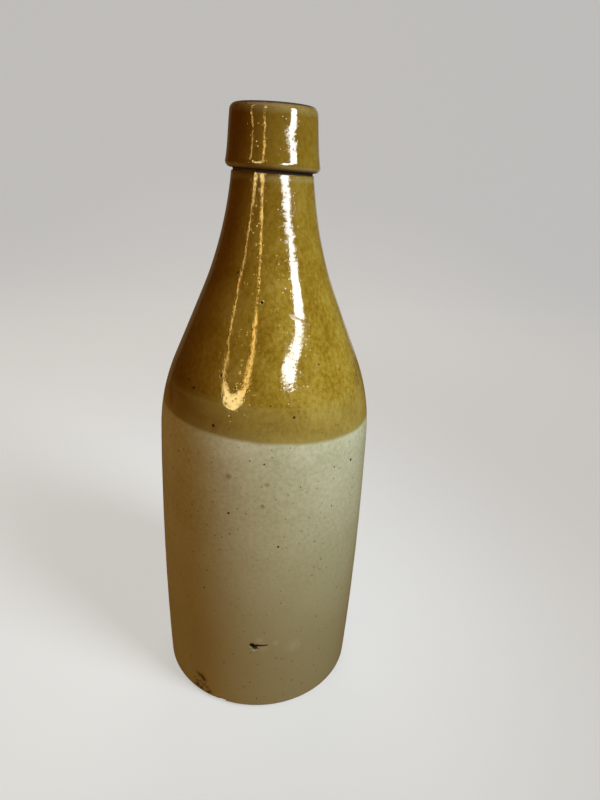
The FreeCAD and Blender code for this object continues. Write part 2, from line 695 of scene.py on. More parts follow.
    def above_dip(self, tree: Tree, place: Node) -> Node:
        """Nodes for how far a point lies above the wavy line where the neck was dipped.

        Args:
            tree: The material's tree.
            place: The point in millimetres.

        Returns:
            The node with the distance in millimetres.
        """
        across, back = self.dip_slope
        lean = add_node(tree, "ShaderNodeVectorMath", {0: place, 1: (-across, -back, 1.0)},
                        operation="DOT_PRODUCT")
        wave = add_node(tree, "ShaderNodeTexNoise", {
            "Vector": place, "Scale": 1 / self.dip_wave_width, "Detail": 4.0})
        wavy = add_node(tree, "ShaderNodeMath", {0: wave, 1: self.dip_wave, 2: lean.outputs["Value"]},
                        operation="MULTIPLY_ADD")
        return add_node(tree, "ShaderNodeMath", {0: wavy, 1: self.dip_level + self.dip_wave / 2},
                        operation="SUBTRACT")

    def ochre_colour(self, tree: Tree, place: Node, above: Node) -> Node:
        """Nodes for the dipped glaze's colour: mottled, thicker upwards, thin and pale where dipped once.

        Args:
            tree: The material's tree.
            place: The point in millimetres.
            above: How far the point lies above the dipped glaze's line.

        Returns:
            The node with the colour.
        """
        cloud = add_node(tree, "ShaderNodeTexNoise", {
            "Vector": place, "Scale": 1 / self.ochre_cloud_width, "Detail": 2.0})
        drawn = add_node(tree, "ShaderNodeVectorMath", {0: place, 1: self.mottle_stretch},
                         operation="MULTIPLY")
        mottle = add_node(tree, "ShaderNodeTexNoise", {
            "Vector": drawn, "Scale": 1 / self.mottle_width, "Detail": 5.0, "Roughness": 0.7})
        tone = add_node(tree, "ShaderNodeMix", {"Factor": self.mottle_share, "A": cloud, "B": mottle})
        glaze = self.ramp(tree, tone, (0.38, self.ochre_dark), (0.5, self.ochre), (0.62, self.ochre_light))
        thick = add_node(tree, "ShaderNodeMapRange", {
            "Value": above, "From Min": self.thick_levels[0], "From Max": self.thick_levels[1],
            "To Max": self.thick_strength})
        once = add_node(tree, "ShaderNodeMapRange", {
            "Value": above, "From Min": self.second_dip_fade[0], "From Max": self.second_dip_fade[1],
            "To Min": self.thin_strength, "To Max": 0.0})
        edge = add_node(tree, "ShaderNodeMapRange", {
            "Value": above, "From Max": self.thin_edge, "To Min": self.thin_strength, "To Max": 0.0})
        thin = add_node(tree, "ShaderNodeMath", {0: once, 1: edge})
        # Painted shade: the ochre turns darker towards the bottle's left side, where the light falls off
        flat = add_node(tree, "ShaderNodeVectorMath", {0: place, 1: (1.0, 1.0, 0.0)}, operation="MULTIPLY")
        outward = add_node(tree, "ShaderNodeVectorMath", {0: flat}, operation="NORMALIZE")
        parts = add_node(tree, "ShaderNodeSeparateXYZ", {0: outward})
        runs_and_side_shade = add_node(tree, "ShaderNodeMapRange", {
            "Value": parts.outputs["X"], "From Min": self.side_shade_from, "From Max": self.side_shade_to,
            "To Max": self.side_shade_strength})
        for share, shade in ((thick, self.thick_ochre), (runs_and_side_shade, self.shaded_side_ochre), (thin, self.thin_ochre)):
            glaze = add_node(tree, "ShaderNodeMix", {"Factor": share, "A": glaze, "B": linear(shade)},
                             data_type="RGBA")
        return glaze

    def buff_colour(self, tree: Tree, place: Node) -> Node:
        """Nodes for the buff body's colour under clear glaze, darker to the foot as browner clay and painted
        shade.

        Args:
            tree: The material's tree.
            place: The point in millimetres.

        Returns:
            The node with the colour.
        """
        cloud = add_node(tree, "ShaderNodeTexNoise", {
            "Vector": place, "Scale": 1 / self.buff_cloud_width, "Detail": 4.0})
        grain = add_node(tree, "ShaderNodeTexNoise", {
            "Vector": place, "Scale": 1 / self.buff_grain_width, "Detail": 4.0})
        tone = add_node(tree, "ShaderNodeMix", {"Factor": 0.5, "A": cloud, "B": grain})
        clay = self.ramp(tree, tone, (0.36, self.buff_dark), (0.5, self.buff), (0.64, self.buff_light))
        # Towards the foot the buff darkens: partly browner clay, partly painted shade where the light falls
        # off downwards
        parts = add_node(tree, "ShaderNodeSeparateXYZ", {0: place})
        low = add_node(tree, "ShaderNodeMapRange", {
            "Value": parts.outputs["Z"], "From Min": self.foot_levels[0], "From Max": self.foot_levels[1],
            "To Min": 1.0, "To Max": 0.0})
        return add_node(tree, "ShaderNodeMix", {"Factor": low, "A": clay, "B": linear(self.browner_and_shaded_foot)},
                        data_type="RGBA")

    def ramp(self, tree: Tree, value: Node, *stops: tuple[float, str]) -> Node:
        """A colour ramp.

        Args:
            tree: The material's tree.
            value: What runs along the ramp.
            stops: The position and colour of each stop, in order.

        Returns:
            The ramp's node.
        """
        node = add_node(tree, "ShaderNodeValToRGB", {"Fac": value})
        elements = node.color_ramp.elements
        for position, _ in stops[2:]:
            elements.new(position)
        for element, (position, colour) in zip(elements, stops):
            element.position = position
            element.color = linear(colour)
        return node

    def add_stripes(self, tree: Tree, place: Node, colour: Node) -> tuple[Node, Node]:
        """Nodes that put the rings on the colour, by their level on the half section.

        Args:
            tree: The material's tree.
            place: The point in millimetres.
            colour: The glaze's colour so far.

        Returns:
            The node with the ringed colour and the node with how much duller the rings are.
        """
        level = add_node(tree, "ShaderNodeAttribute", attribute_name="level")
        ragged = add_node(tree, "ShaderNodeTexNoise", {
            "Vector": place, "Scale": 1 / self.stripe_wave_width, "Detail": 3.0})
        here = add_node(tree, "ShaderNodeMath", {0: level.outputs["Fac"], 1: 1 / MM}, operation="MULTIPLY")
        dull = 0.0
        for stripe in self.stripes:
            away = add_node(tree, "ShaderNodeMath", {0: here, 1: stripe.level}, operation="SUBTRACT")
            gap = add_node(tree, "ShaderNodeMath", {0: away}, operation="ABSOLUTE")
            uneven = add_node(tree, "ShaderNodeMath", {0: ragged, 1: stripe.blur, 2: gap},
                              operation="MULTIPLY_ADD")
            shade = add_node(tree, "ShaderNodeMapRange", {
                "Value": uneven, "From Min": stripe.reach, "From Max": stripe.reach + stripe.blur,
                "To Min": stripe.strength, "To Max": 0.0})
            colour = add_node(tree, "ShaderNodeMix", {
                "Factor": shade, "A": colour, "B": linear(stripe.colour)}, data_type="RGBA")
            dull = add_node(tree, "ShaderNodeMath", {0: shade, 1: stripe.dullness, 2: dull},
                            operation="MULTIPLY_ADD")
        return colour, dull

    def add_specks(self, tree: Tree, place: Node, colour: Node) -> Node:
        """Nodes that put the iron specks on the colour, the large ones where the photo has them.

        Args:
            tree: The material's tree.
            place: The point in millimetres.
            colour: The glaze's colour so far.

        Returns:
            The node with the specked colour.
        """
        for pepper in self.peppers:
            cell = add_node(tree, "ShaderNodeTexVoronoi", {"Vector": place, "Scale": 1 / pepper.cell})
            random = add_node(tree, "ShaderNodeSeparateColor", {0: cell.outputs["Color"]})
            radius = add_node(tree, "ShaderNodeMapRange", {
                "Value": random.outputs["Red"], "From Min": pepper.empty_share, "From Max": 1.0,
                "To Max": pepper.radius / pepper.cell})
            inside = add_node(tree, "ShaderNodeMath", {0: radius, 1: cell.outputs["Distance"]},
                              operation="SUBTRACT")
            shade = add_node(tree, "ShaderNodeMapRange", {
                "Value": inside, "From Max": pepper.edge / pepper.cell, "To Max": pepper.strength})
            colour = add_node(tree, "ShaderNodeMix", {
                "Factor": shade, "A": colour, "B": linear(pepper.colour)}, data_type="RGBA")
        for specks, tone, strength, blur in (
            (PALE_SPECKS, self.buff_light, 0.28, 0.8), (SOFT_SPECKS, self.soft_iron, 0.55, 0.7),
            (IRON_SPECKS, self.iron, 0.95, 0.25),
        ):
            shade = 0.0
            for speck in specks:
                centre = self.section.on_outside(speck.azimuth, speck.level)
                gap = add_node(tree, "ShaderNodeVectorMath", {0: place, 1: centre}, operation="DISTANCE")
                spot = add_node(tree, "ShaderNodeMapRange", {
                    "Value": gap.outputs["Value"], "From Min": speck.radius * (1 - blur),
                    "From Max": speck.radius * (1 + blur), "To Min": strength, "To Max": 0.0})
                shade = add_node(tree, "ShaderNodeMath", {0: shade, 1: spot}, operation="MAXIMUM")
            colour = add_node(tree, "ShaderNodeMix", {"Factor": shade, "A": colour, "B": linear(tone)},
                              data_type="RGBA")
        return colour

    def add_marks(self, tree: Tree, colour: Node) -> Node:
        """Nodes that show what each mark lays open, and the rings round pits and chips.

        A pit's strength is past 1, so that the hole is dark right up to its rim.

        Args:
            tree: The material's tree.
            colour: The glaze's colour so far.

        Returns:
            The node with the marked colour.
        """
        for name, strength, tone in (
            (MarkKind.PIT.halo, 0.25, self.thin_glaze), (MarkKind.CHIP.halo, 0.5, self.soft_iron),
            (MarkKind.FLAKE.name, 0.85, self.rough_clay), (MarkKind.CHIP.name, 1.0, self.rust),
            (MarkKind.PIT.name, 1.8, self.pit),
        ):
            shown = add_node(tree, "ShaderNodeAttribute", attribute_name=name)
            share = add_node(tree, "ShaderNodeMath", {0: shown.outputs["Fac"], 1: strength},
                             operation="MULTIPLY")
            colour = add_node(tree, "ShaderNodeMix", {"Factor": share, "A": colour, "B": linear(tone)},
                              data_type="RGBA")
        return colour

    def peel(self, tree: Tree, place: Node) -> Node:
        """Nodes for the glaze's orange peel, in a broad and a fine wave, and its pinpricks.

        Args:
            tree: The material's tree.
            place: The point in millimetres.

        Returns:
            The node with the normal.
        """
        waves = add_node(tree, "ShaderNodeTexNoise", {
            "Vector": place, "Scale": 1 / self.wave_width, "Detail": 1.0})
        broad = add_node(tree, "ShaderNodeBump", {
            "Height": waves, "Distance": self.wave_height * MM, "Strength": 1.0})
        peel = add_node(tree, "ShaderNodeTexNoise", {
            "Vector": place, "Scale": 1 / self.peel_width, "Detail": 3.0})
        fine = add_node(tree, "ShaderNodeBump", {
            "Height": peel, "Distance": self.peel_height * MM, "Strength": 1.0, "Normal": broad})
        cell = add_node(tree, "ShaderNodeTexVoronoi", {"Vector": place, "Scale": 1 / self.prick_cell})
        low, high = self.prick_edge
        prick = add_node(tree, "ShaderNodeMapRange", {
            "Value": cell.outputs["Distance"], "From Min": low, "From Max": high})
        return add_node(tree, "ShaderNodeBump", {
            "Height": prick, "Distance": self.prick_depth * MM, "Strength": 1.0, "Normal": fine})


@dataclass(frozen=True)
class LinerGlaze:
    """The glaze poured round the inside: brown and glossy, so that the mouth looks dark and wet."""

    colour: str = "#5f4718"
    run_colour: str = "#80652c"
    run_width: float = 6.0
    roughness: float = 0.2
    ior: float = 1.55

    def material(self) -> bpy.types.Material:
        """Builds the liner's material.

        Returns:
            The material.
        """
        material, tree, shader = new_material("poured_liner_glaze")
        coords = add_node(tree, "ShaderNodeTexCoord")
        runs_and_side_shade = add_node(tree, "ShaderNodeTexNoise", {
            "Vector": coords.outputs["Object"], "Scale": 1 / (self.run_width * MM), "Detail": 3.0})
        feed(shader, "Base Color", add_node(tree, "ShaderNodeMix", {
            "Factor": runs_and_side_shade, "A": linear(self.colour), "B": linear(self.run_colour)}, data_type="RGBA"))
        feed(shader, "Roughness", self.roughness)
        feed(shader, "IOR", self.ior)
        return material


@dataclass(frozen=True)
class BareClay:
    """Unglazed fired clay under the foot: a dry buff with grit, so that it looks chalky beside the glaze."""

    colour: str = "#a8946c"
    grit_colour: str = "#7d6644"
    grit: float = 0.7
    grit_height: float = 0.15
    roughness: float = 0.85

    def material(self) -> bpy.types.Material:
        """Builds the clay's material.

        Returns:
            The material.
        """
        material, tree, shader = new_material("bare_fired_clay")
        coords = add_node(tree, "ShaderNodeTexCoord")
        grain = add_node(tree, "ShaderNodeTexNoise", {
            "Vector": coords.outputs["Object"], "Scale": 1 / (self.grit * MM), "Detail": 4.0})
        feed(shader, "Base Color", add_node(tree, "ShaderNodeMix", {
            "Factor": grain, "A": linear(self.colour), "B": linear(self.grit_colour)}, data_type="RGBA"))
        feed(shader, "Normal", add_node(tree, "ShaderNodeBump", {
            "Height": grain, "Distance": self.grit_height * MM}))
        feed(shader, "Roughness", self.roughness)
        return material


@dataclass
class Bottle:
    """The bottle: its half section, the tree that turns it, its marks and its three finishes.

    The columns stand closer together within the fine half angle of the front, where the marks are. The
    lean and the tilts are slopes, and a mark's least, spread, floor and halo are shares of its reach.
    """

    section: HalfSection
    coat: DippedGlaze
    liner: LinerGlaze
    clay: BareClay
    marks: tuple[Mark, ...] = MARKS
    fine_columns: int = 238
    other_columns: int = 100
    fine_half_angle: float = math.radians(58)
    sway: float = 0.25
    sway_width: float = 42.0
    ripple: float = 0.13
    ripple_width: float = 9.0
    lean: float = -0.009
    seam_tilt: tuple[float, float, float] = (-0.028, -0.01, 0.0)
    rim_tilt: tuple[float, float, float] = (-0.009, -0.009, 0.0)
    tilt_start: float = 4.0
    mark_grain: float = 0.9
    mark_least: float = 0.45
    mark_spread: float = 1.1
    mark_floor: float = 0.35
    mark_halo: float = 2.1
    sharp_angle: float = math.radians(40)
    merge_distance: float = 0.001
    seed: float = 7.0

    def half_section_object(self) -> bpy.types.Object:
        """The half section as a line of points, each with its zone.

        Returns:
            The line's object.
        """
        path = self.section.path()
        mesh = bpy.data.meshes.new("half_section")
        mesh.from_pydata([(p.x * MM, 0, p.y * MM) for p, _ in path],
                         [(i, i + 1) for i in range(len(path) - 1)], [])
        zones = mesh.attributes.new("zone", "INT", "POINT")
        zones.data.foreach_set("value", [zone.value for _, zone in path])
        return new_object("half_section", mesh)

    def marks_object(self) -> bpy.types.Object:
        """The marks as loose points, each with its reach, its depth and its kind.

        Returns:
            The points' object.
        """
        mesh = bpy.data.meshes.new("marks")
        places = [self.section.on_outside(mark.azimuth, mark.level) for mark in self.marks]
        mesh.from_pydata([place * MM for place in places], [], [])
        values = {
            "reach": [mark.reach * MM for mark in self.marks],
            "depth": [mark.depth * MM for mark in self.marks],
            "kind": [float(mark.kind.value) for mark in self.marks],
        }
        for name, numbers in values.items():
            mesh.attributes.new(name, "FLOAT", "POINT").data.foreach_set("value", numbers)
        return new_object("marks", mesh)

    def new_tree(self) -> Tree:
        """A tree with the named inputs of the turning.

        Returns:
            The tree, with no nodes yet.
        """
        tree = bpy.data.node_groups.new("turned_bottle", "GeometryNodeTree")
        tree.is_modifier = True
        for kind, names in (
            ("Geometry", ("Half Section",)), ("Object", ("Marks",)),
            ("Int", ("Fine Columns", "Other Columns")),
            ("Float", ("Fine Half Angle", "Sway", "Ripple", "Lean", "Seed")),
            ("Vector", ("Seam Tilt", "Rim Tilt")),
        ):
            for name in names:
                tree.interface.new_socket(name, in_out="INPUT", socket_type="NodeSocket" + kind)
        tree.interface.new_socket("Bottle", in_out="OUTPUT", socket_type="NodeSocketGeometry")
        return tree

    def turn_section(self, tree: Tree, given: Node) -> Node:
        """Nodes that turn the half section round the axis.

        Args:
            tree: The tree that gets the nodes.
            given: The tree's input node.

        Returns:
            The node whose mesh is the turned bottle, with the zone and the turned level on its points.
        """
        inputs = given.outputs
        rows = add_node(tree, "GeometryNodeAttributeDomainSize", {"Geometry": inputs["Half Section"]})
        columns = add_node(tree, "ShaderNodeMath", {0: inputs["Fine Columns"], 1: inputs["Other Columns"]})
        edges = add_node(tree, "ShaderNodeMath", {0: columns, 1: 1.0})
        grid = add_node(tree, "GeometryNodeMeshGrid", {"Vertices X": edges, "Vertices Y": rows})
        index = add_node(tree, "GeometryNodeInputIndex")
        row = add_node(tree, "ShaderNodeMath", {0: index, 1: rows}, operation="MODULO")
        share = add_node(tree, "ShaderNodeMath", {0: index, 1: rows}, operation="DIVIDE")
        column = add_node(tree, "ShaderNodeMath", {0: share}, operation="FLOOR")
        half = inputs["Fine Half Angle"]
        low = add_node(tree, "ShaderNodeMath", {0: half, 1: -1.0}, operation="MULTIPLY")
        fine = add_node(tree, "ShaderNodeMapRange", {
            "Value": column, "From Min": 0.0, "From Max": inputs["Fine Columns"], "To Min": low,
            "To Max": half})
        rest = add_node(tree, "ShaderNodeMath", {0: half, 1: -2.0, 2: 2 * math.pi}, operation="MULTIPLY_ADD")
        other = add_node(tree, "ShaderNodeMapRange", {
            "Value": column, "From Min": inputs["Fine Columns"], "From Max": columns, "To Min": 0.0,
            "To Max": rest})
        azimuth = add_node(tree, "ShaderNodeMath", {0: fine, 1: other})
        place = add_node(tree, "GeometryNodeInputPosition")
        point = add_node(tree, "GeometryNodeSampleIndex", {
            "Geometry": inputs["Half Section"], "Value": place, "Index": row}, data_type="FLOAT_VECTOR")
        parts = add_node(tree, "ShaderNodeSeparateXYZ", {0: point})
        radius, level = parts.outputs["X"], parts.outputs["Z"]
        across = add_node(tree, "ShaderNodeMath", {0: azimuth}, operation="SINE")
        towards = add_node(tree, "ShaderNodeMath", {0: azimuth}, operation="COSINE")
        x = add_node(tree, "ShaderNodeMath", {0: radius, 1: across}, operation="MULTIPLY")
        depth = add_node(tree, "ShaderNodeMath", {0: radius, 1: towards}, operation="MULTIPLY")
        y = add_node(tree, "ShaderNodeMath", {0: depth, 1: -1.0}, operation="MULTIPLY")
        ring = add_node(tree, "ShaderNodeCombineXYZ", {0: x, 1: y, 2: level})
        turned = add_node(tree, "GeometryNodeSetPosition", {"Geometry": grid, "Position": ring})
        zone_of = add_node(tree, "GeometryNodeInputNamedAttribute", {"Name": "zone"}, data_type="INT")
        zone = add_node(tree, "GeometryNodeSampleIndex", {
            "Geometry": inputs["Half Section"], "Value": zone_of, "Index": row}, data_type="INT")
        noted = turned
        for name, value, data_type in (("zone", zone, "INT"), ("level", level, "FLOAT")):
            noted = add_node(tree, "GeometryNodeStoreNamedAttribute", {
                "Geometry": noted, "Name": name, "Value": value}, data_type=data_type, domain="POINT")
        return add_node(tree, "GeometryNodeMergeByDistance", {
            "Geometry": noted, "Distance": self.merge_distance * MM})

    def throw_unevenly(self, tree: Tree, given: Node, turned: Node) -> Node:
        """Nodes that give the wall the wheel's unevenness, and the collar its lean and tilts.

        Args:
            tree: The tree that gets the nodes.
            given: The tree's input node.
            turned: The node with the true mesh.

        Returns:
            The node with the uneven mesh.
        """
        inputs = given.outputs
        place = add_node(tree, "GeometryNodeInputPosition")
        parts = add_node(tree, "ShaderNodeSeparateXYZ", {0: place})
        flat = add_node(tree, "ShaderNodeCombineXYZ", {0: parts.outputs["X"], 1: parts.outputs["Y"]})
        outward = add_node(tree, "ShaderNodeVectorMath", {0: flat}, operation="NORMALIZE")
        waves = []
        for name, width in (("Sway", self.sway_width), ("Ripple", self.ripple_width)):
            noise = add_node(tree, "ShaderNodeTexNoise", {
                "Vector": place, "W": inputs["Seed"], "Scale": 1 / (width * MM), "Detail": 1.0},
                noise_dimensions="4D")
            wave = add_node(tree, "ShaderNodeMath", {0: noise, 1: 0.5}, operation="SUBTRACT")
            waves.append(add_node(tree, "ShaderNodeMath", {0: wave, 1: inputs[name]}, operation="MULTIPLY"))
        push = add_node(tree, "ShaderNodeMath", {0: waves[0], 1: waves[1]})
        radial = add_node(tree, "ShaderNodeVectorMath", {0: outward, "Scale": push}, operation="SCALE")
        section = self.section
        above = add_node(tree, "ShaderNodeMath", {0: parts.outputs["Z"], 1: section.neck_top * MM},
                         operation="SUBTRACT")
        risen = add_node(tree, "ShaderNodeMath", {0: above, 1: 0.0}, operation="MAXIMUM")
        shift = add_node(tree, "ShaderNodeMath", {0: risen, 1: inputs["Lean"]}, operation="MULTIPLY")
        seam, rim = (
            add_node(tree, "ShaderNodeVectorMath", {0: place, 1: inputs[name]}, operation="DOT_PRODUCT")
            for name in ("Seam Tilt", "Rim Tilt")
        )
        rim_share = add_node(tree, "ShaderNodeMapRange", {
            "Value": above, "From Min": section.collar_foot_round * MM,
            "From Max": (section.height - section.neck_top - section.lip_round) * MM})
        tilt = add_node(tree, "ShaderNodeMix", {
            "Factor": rim_share, "A": seam.outputs["Value"], "B": rim.outputs["Value"]})
        on_collar = add_node(tree, "ShaderNodeMapRange", {
            "Value": above, "From Min": -self.tilt_start * MM, "From Max": -section.undercut_height * MM})
        lift = add_node(tree, "ShaderNodeMath", {0: tilt, 1: on_collar}, operation="MULTIPLY")
        bend = add_node(tree, "ShaderNodeCombineXYZ", {0: shift, 2: lift})
        offset = add_node(tree, "ShaderNodeVectorMath", {0: radial, 1: bend})
        return add_node(tree, "GeometryNodeSetPosition", {"Geometry": turned, "Offset": offset})

    def press_marks(self, tree: Tree, given: Node, thrown: Node) -> Node:
        """Nodes that press each mark into the outside and note on the points what it lays open.

        Args:
            tree: The tree that gets the nodes.
            given: The tree's input node.
            thrown: The node with the unmarked mesh.

        Returns:
            The node with the marked mesh.
        """
        marks = add_node(tree, "GeometryNodeObjectInfo", {"Object": given.outputs["Marks"]})
        spots = marks.outputs["Geometry"]
        place = add_node(tree, "GeometryNodeInputPosition")
        nearest = add_node(tree, "GeometryNodeSampleNearest", {"Geometry": spots})
        sampled = {}
        for name in ("reach", "depth", "kind"):
            value = add_node(tree, "GeometryNodeInputNamedAttribute", {"Name": name}, data_type="FLOAT")
            sampled[name] = add_node(tree, "GeometryNodeSampleIndex", {
                "Geometry": spots, "Value": value, "Index": nearest}, data_type="FLOAT")
        middle = add_node(tree, "GeometryNodeSampleIndex", {
            "Geometry": spots, "Value": place, "Index": nearest}, data_type="FLOAT_VECTOR")
        gap = add_node(tree, "ShaderNodeVectorMath", {0: place, 1: middle}, operation="DISTANCE")
        ragged = add_node(tree, "ShaderNodeTexNoise", {
            "Vector": place, "Scale": 1 / (self.mark_grain * MM), "Detail": 2.0})
        edge = add_node(tree, "ShaderNodeMath", {0: ragged, 1: self.mark_spread, 2: self.mark_least},
                        operation="MULTIPLY_ADD")
        reach = add_node(tree, "ShaderNodeMath", {0: sampled["reach"], 1: edge}, operation="MULTIPLY")
        floor = add_node(tree, "ShaderNodeMath", {0: reach, 1: self.mark_floor}, operation="MULTIPLY")
        open_part = add_node(tree, "ShaderNodeMapRange", {
            "Value": gap, "From Min": floor, "From Max": reach, "To Min": 1.0, "To Max": 0.0},
            interpolation_type="SMOOTHSTEP")
        sink = add_node(tree, "ShaderNodeMath", {0: open_part, 1: sampled["depth"]}, operation="MULTIPLY")
        inward = add_node(tree, "ShaderNodeMath", {0: sink, 1: -1.0}, operation="MULTIPLY")
        normal = add_node(tree, "GeometryNodeInputNormal")
        push = add_node(tree, "ShaderNodeVectorMath", {0: normal, "Scale": inward}, operation="SCALE")
        wide = add_node(tree, "ShaderNodeMath", {0: sampled["reach"], 1: self.mark_halo},
                        operation="MULTIPLY")
        halo = add_node(tree, "ShaderNodeMapRange", {
            "Value": gap, "From Min": reach, "From Max": wide, "To Min": 1.0, "To Max": 0.0})
        noted = thrown
        for kind in MarkKind:
            chosen = add_node(tree, "FunctionNodeCompare", {"A": sampled["kind"], "B": float(kind.value)},
                              operation="EQUAL")
            shares = {kind.name: open_part}
            if kind in HALOED:
                shares[kind.halo] = halo
            for name, share in shares.items():
                value = add_node(tree, "ShaderNodeMath", {0: share, 1: chosen}, operation="MULTIPLY")
                noted = add_node(tree, "GeometryNodeStoreNamedAttribute", {
                    "Geometry": noted, "Name": name, "Value": value}, data_type="FLOAT", domain="POINT")
        return add_node(tree, "GeometryNodeSetPosition", {"Geometry": noted, "Offset": push})

    def coat_zones(self, tree: Tree, marked: Node) -> Node:
        """Nodes that give each zone its finish, with sharp edges only where the clay was cut.

        Args:
            tree: The tree that gets the nodes.
            marked: The node with the marked mesh.

        Returns:
            The node with the finished mesh.
        """
        smooth = add_node(tree, "GeometryNodeSetShadeSmooth", {"Geometry": marked, "Shade Smooth": True})
        angle = add_node(tree, "GeometryNodeInputMeshEdgeAngle")
        sharp = add_node(tree, "FunctionNodeCompare", {"A": angle, "B": self.sharp_angle})
        edges = add_node(tree, "GeometryNodeSetShadeSmooth", {
            "Geometry": smooth, "Selection": sharp, "Shade Smooth": False}, domain="EDGE")
        whole = add_node(tree, "GeometryNodeRealizeInstances", {"Geometry": edges})
        last = add_node(tree, "GeometryNodeSetMaterial", {
            "Geometry": whole, "Material": self.coat.material()})
        zone = add_node(tree, "GeometryNodeInputNamedAttribute", {"Name": "zone"}, data_type="INT")
        for kind, finish in ((Zone.LINER, self.liner), (Zone.CLAY, self.clay)):
            chosen = add_node(tree, "FunctionNodeCompare", {"A": zone, "B": kind.value},
                              data_type="INT", operation="EQUAL")
            last = add_node(tree, "GeometryNodeSetMaterial", {
                "Geometry": last, "Selection": chosen, "Material": finish.material()})
        return last

    def build(self) -> bpy.types.Object:
        """Turns the bottle, makes it uneven and marks it, all as one plain mesh.

        Returns:
            The bottle's object, at the origin, in the CAD part's frame.
        """
        tree = self.new_tree()
        given = add_node(tree, "NodeGroupInput")
        turned = self.turn_section(tree, given)
        thrown = self.throw_unevenly(tree, given, turned)
        marked = self.press_marks(tree, given, thrown)
        add_node(tree, "NodeGroupOutput", {"Bottle": self.coat_zones(tree, marked)})
        source = self.half_section_object()
        marks = self.marks_object()
        modifier = source.modifiers.new("turning", "NODES")
        modifier.node_group = tree
        values = {
            "Marks": marks, "Fine Columns": self.fine_columns, "Other Columns": self.other_columns,
            "Fine Half Angle": self.fine_half_angle, "Sway": self.sway * MM, "Ripple": self.ripple * MM,
            "Lean": self.lean, "Seam Tilt": self.seam_tilt, "Rim Tilt": self.rim_tilt, "Seed": self.seed,
        }
        for item in tree.interface.items_tree:
            if item.name in values:
                modifier[item.identifier] = values[item.name]
        graph = bpy.context.evaluated_depsgraph_get()
        mesh = bpy.data.meshes.new_from_object(source.evaluated_get(graph), depsgraph=graph)
        source.modifiers.clear()
        bpy.data.objects.remove(source)
        bpy.data.objects.remove(marks)
        mesh.name = PIECE
        self.face_outwards(mesh)
        return new_object(PIECE, mesh)

    @staticmethod
    def face_outwards(mesh: bpy.types.Mesh) -> None:
        """Points every face of the closed mesh out of the clay.

        Args:
            mesh: The bottle's mesh.
        """
        work = bmesh.new()
        work.from_mesh(mesh)
        bmesh.ops.recalc_face_normals(work, faces=work.faces)
        work.to_mesh(mesh)
        work.free()

    @staticmethod
    def dress(bottle: bpy.types.Object) -> None:
        """Puts the bottle on the CAD body, in the place of its solid.

        Args:
            bottle: The bottle's object.
        """
        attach(bottle, BODY)
        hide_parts(NODE)


@dataclass(frozen=True)
class Lamp:
    """One soft lamp: a flat panel at an azimuth, aimed at a level on the axis.

    It lights the colours and doesn't show in the gloss, where the gloss cards take its place.
    """

    name: str
    azimuth: float
    distance: float
    level: float
    aim: float
    width: float
    height: float
    spread: float
    radiance: float
    colour: str

    def build(self) -> bpy.types.Object:
        """Makes the lamp.

        Returns:
            The lamp's object.
        """
        data = bpy.data.lights.new(self.name, "AREA")
        data.shape = "RECTANGLE"
        data.size, data.size_y = self.width, self.height
        data.spread = math.radians(self.spread)
        data.energy = self.radiance * math.pi * self.width * self.height
        data.color = linear(self.colour)[:3]
        lamp = new_object(self.name, data)
        lamp.location = round_axis(self.distance, self.azimuth, self.level)
        towards = Vector((0, 0, self.aim)) - lamp.location
        lamp.rotation_euler = towards.to_track_quat("-Z", "Y").to_euler()
        lamp.visible_camera = False
        lamp.visible_glossy = False
        return lamp


Place = tuple[float, float, float]
Fold = tuple[Place, Place]


@dataclass(frozen=True)
class GlossCard:
    """A card that shows only in the gloss: a bright one for a highlight, a dark one for depth.

    Each fold has two ends, and each end its distance from the axis, its azimuth and its level.
    """

    name: str
    colour: str
    radiance: float
    folds: tuple[Fold, ...]

    def build(self) -> bpy.types.Object:
        """Makes the card.

        Returns:
            The card's object.
        """
        material, tree, shader = new_material(self.name)
        tree.nodes.remove(shader)
        glow = add_node(tree, "ShaderNodeEmission", {
            "Color": linear(self.colour), "Strength": self.radiance})
        feed(tree.nodes["Material Output"], "Surface", glow)
        card = new_card(self.name, [round_axis(*end) for fold in self.folds for end in fold], material)
        card.visible_camera = False
        card.visible_diffuse = False
        card.visible_shadow = False
        return card


def new_card(name: str, points: list[Vector], material: bpy.types.Material) -> bpy.types.Object:
    """Makes a studio card.

    Args:
        name: The card's name.
        points: The points, two for each fold of the card.
        material: The card's material.

    Returns:
        The card's object.
    """
    faces = [(i, i + 1, i + 3, i + 2) for i in range(0, len(points) - 2, 2)]
    mesh = bpy.data.meshes.new(name)
    mesh.from_pydata(points, [], faces)
    mesh.shade_smooth()
    mesh.materials.append(material)
    card = new_object(name, mesh)
    return card


def climbing(distance: float, *rows: Place) -> tuple[Fold, ...]:
    """The folds of a card that climbs, each at one level.

    Args:
        distance: How far the card hangs from the axis.
        rows: For each fold its level and the azimuths of its two ends.

    Returns:
        The folds, in the same order.
    """
    return tuple(((distance, left, level), (distance, right, level)) for level, left, right in rows)


def circling(distance: float, *rows: Place) -> tuple[Fold, ...]:
    """The folds of a card that goes round the axis, each at one azimuth.

    Args:
        distance: How far the card hangs from the axis.
        rows: For each fold its azimuth and the levels of its two ends.

    Returns:
        The folds, in the same order.
    """
    return tuple(((distance, azimuth, low), (distance, azimuth, high)) for azimuth, low, high in rows)


def screen(distance: float, azimuths: Iterable[float], low: float = 0.001,
           high: float = 1.3) -> tuple[Fold, ...]:
    """The folds of an even card round the axis.

    Args:
        distance: How far the card stands from the axis.
        azimuths: The azimuth of each fold.
        low: The level of its lower edge.
        high: The level of its upper edge.

    Returns:
        The folds, in the same order.
    """
    return circling(distance, *[(azimuth, low, high) for azimuth in azimuths])


